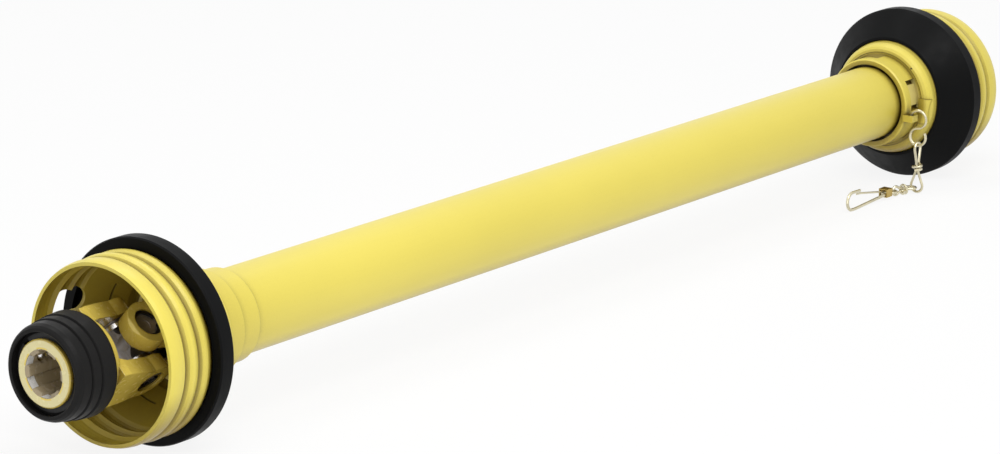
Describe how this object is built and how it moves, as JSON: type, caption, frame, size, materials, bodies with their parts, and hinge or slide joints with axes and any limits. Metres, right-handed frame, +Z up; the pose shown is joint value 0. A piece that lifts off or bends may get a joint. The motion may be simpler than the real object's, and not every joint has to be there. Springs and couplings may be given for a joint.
{
  "type": "pto drive shaft",
  "caption": "Telescopic cardan drive shaft with splined quick-release yokes, universal joints, plastic guard tubes and cones, and a safety chain.",
  "frame": {"origin": "on the shaft axis, in the ball plane of the near splined hub", "axes": "+X along the shaft towards the far hub, +Z up, the shaft lying on its two support rings"},
  "size_m": [1.2383, 0.154, 0.154],
  "materials": {
    "yoke_paint": "glossy yellow enamel on a forging",
    "collar_black": "satin black plastic",
    "spring_steel": "oiled spring steel",
    "bearing_steel": "polished bearing steel",
    "cup_steel": "ground steel",
    "circlip_black": "phosphated steel",
    "cross_steel": "forged steel, shot blasted",
    "seal_steel": "bright pressed steel",
    "zinc_steel": "yellowish zinc plate",
    "tube_steel": "drawn steel",
    "guard_yellow": "smooth yellow moulded plastic",
    "ring_black": "satin black moulded plastic",
    "bearing_nylon": "pale yellow nylon",
    "ferrule_brass": "dull brass"
  },
  "bodies": {
    "far_guard": {"far_guard_cone": "guard_yellow", "far_support_ring": "ring_black", "far_bearing_ring": "bearing_nylon", "inner_guard_tube": "guard_yellow"},
    "far_shaft": {"far_tube_yoke": "yoke_paint", "far_tube_cups": "cup_steel", "far_tube_circlips": "circlip_black", "far_roll_pin": "spring_steel", "outer_profile_tube": "tube_steel"},
    "near_shaft": {"near_tube_yoke": "yoke_paint", "near_tube_cups": "cup_steel", "near_tube_circlips": "circlip_black", "near_roll_pin": "spring_steel", "inner_profile_tube": "tube_steel"},
    "near_guard": {"near_guard_cone": "guard_yellow", "near_support_ring": "ring_black", "near_bearing_ring": "bearing_nylon", "outer_guard_tube": "guard_yellow"},
    "near_joint_cross": {"near_cross": "cross_steel", "near_cross_seals": "seal_steel", "near_grease_nipple": "zinc_steel"},
    "near_hub": {"near_quick_yoke": "yoke_paint", "near_hub_cups": "cup_steel", "near_hub_circlips": "circlip_black", "near_lock_stop": "circlip_black", "near_lock_balls": "bearing_steel", "near_lock_spring": "spring_steel"},
    "near_collar": {"near_lock_collar": "collar_black"},
    "far_joint_cross": {"far_cross": "cross_steel", "far_cross_seals": "seal_steel", "far_grease_nipple": "zinc_steel"},
    "far_hub": {"far_pin_yoke": "yoke_paint", "far_hub_cups": "cup_steel", "far_hub_circlips": "circlip_black", "far_pin_plug": "zinc_steel", "far_pin_spring": "spring_steel"},
    "far_pin": {"far_push_pin": "bearing_steel"},
    "hook_s": {"s_hook": "zinc_steel"},
    "link_1": {"chain_link_1": "zinc_steel"},
    "link_2": {"chain_link_2": "zinc_steel"},
    "snap": {"snap_hook": "zinc_steel", "snap_ferrule": "ferrule_brass"},
    "gate": {"snap_gate": "zinc_steel"}
  },
  "joints": [
    {"name": "far_shaft_spin", "type": "hinge", "parent": "far_guard", "child": "far_shaft", "pos_m": [1.136, 0, 0], "axis": [1, 0, 0], "continuous": true},
    {"name": "telescope", "type": "slide", "parent": "far_shaft", "child": "near_shaft", "axis": [-1, 0, 0], "range_m": [0, 0.35]},
    {"name": "near_guard_spin", "type": "hinge", "parent": "near_shaft", "child": "near_guard", "pos_m": [0.069, 0, 0], "axis": [1, 0, 0], "continuous": true},
    {"name": "near_tube_pins", "type": "hinge", "parent": "near_shaft", "child": "near_joint_cross", "pos_m": [0.069, 0, 0], "axis": [0, -0.6947, 0.7193], "range_deg": [-20, 20]},
    {"name": "near_hub_pins", "type": "hinge", "parent": "near_joint_cross", "child": "near_hub", "pos_m": [0.069, 0, 0], "axis": [0, 0.7193, 0.6947], "range_deg": [-20, 20]},
    {"name": "near_collar_slide", "type": "slide", "parent": "near_hub", "child": "near_collar", "axis": [1, 0, 0], "range_m": [0, 0.007], "stiffness_N_per_m": 1500, "springref_m": -0.01, "deforming": ["near_lock_spring"]},
    {"name": "far_tube_pins", "type": "hinge", "parent": "far_shaft", "child": "far_joint_cross", "pos_m": [1.136, 0, 0], "axis": [0, -0.6947, 0.7193], "range_deg": [-20, 20]},
    {"name": "far_hub_pins", "type": "hinge", "parent": "far_joint_cross", "child": "far_hub", "pos_m": [1.136, 0, 0], "axis": [0, 0.7193, 0.6947], "range_deg": [-20, 20]},
    {"name": "far_pin_push", "type": "slide", "parent": "far_hub", "child": "far_pin", "axis": [0, 0, -1], "range_m": [0, 0.006], "stiffness_N_per_m": 1500, "springref_m": -0.01, "deforming": ["far_pin_spring"]},
    {"name": "s_hook_swing", "type": "hinge", "parent": "far_guard", "child": "hook_s", "pos_m": [1.055, -0.0435, -0.0084], "axis": [1, 0, 0], "range_deg": [-12, 12]},
    {"name": "link_1_swing", "type": "hinge", "parent": "hook_s", "child": "link_1", "pos_m": [1.055, -0.0515, -0.0324], "axis": [0, 1, 0], "range_deg": [-15, 15]},
    {"name": "link_2_swing", "type": "hinge", "parent": "link_1", "child": "link_2", "pos_m": [1.055, -0.04639, -0.07185], "axis": [0, 0, 1], "range_deg": [-15, 15]},
    {"name": "snap_swing", "type": "hinge", "parent": "link_2", "child": "snap", "pos_m": [1.03259, -0.04039, -0.07185], "axis": [0, 0, 1], "range_deg": [-15, 15]},
    {"name": "gate_swing", "type": "hinge", "parent": "snap", "child": "gate", "pos_m": [1.01855, -0.03995, -0.06895], "axis": [0, -1, 0], "range_deg": [0, 8], "stiffness_Nm_per_rad": 0.02, "springref_deg": -5.73}
  ]
}
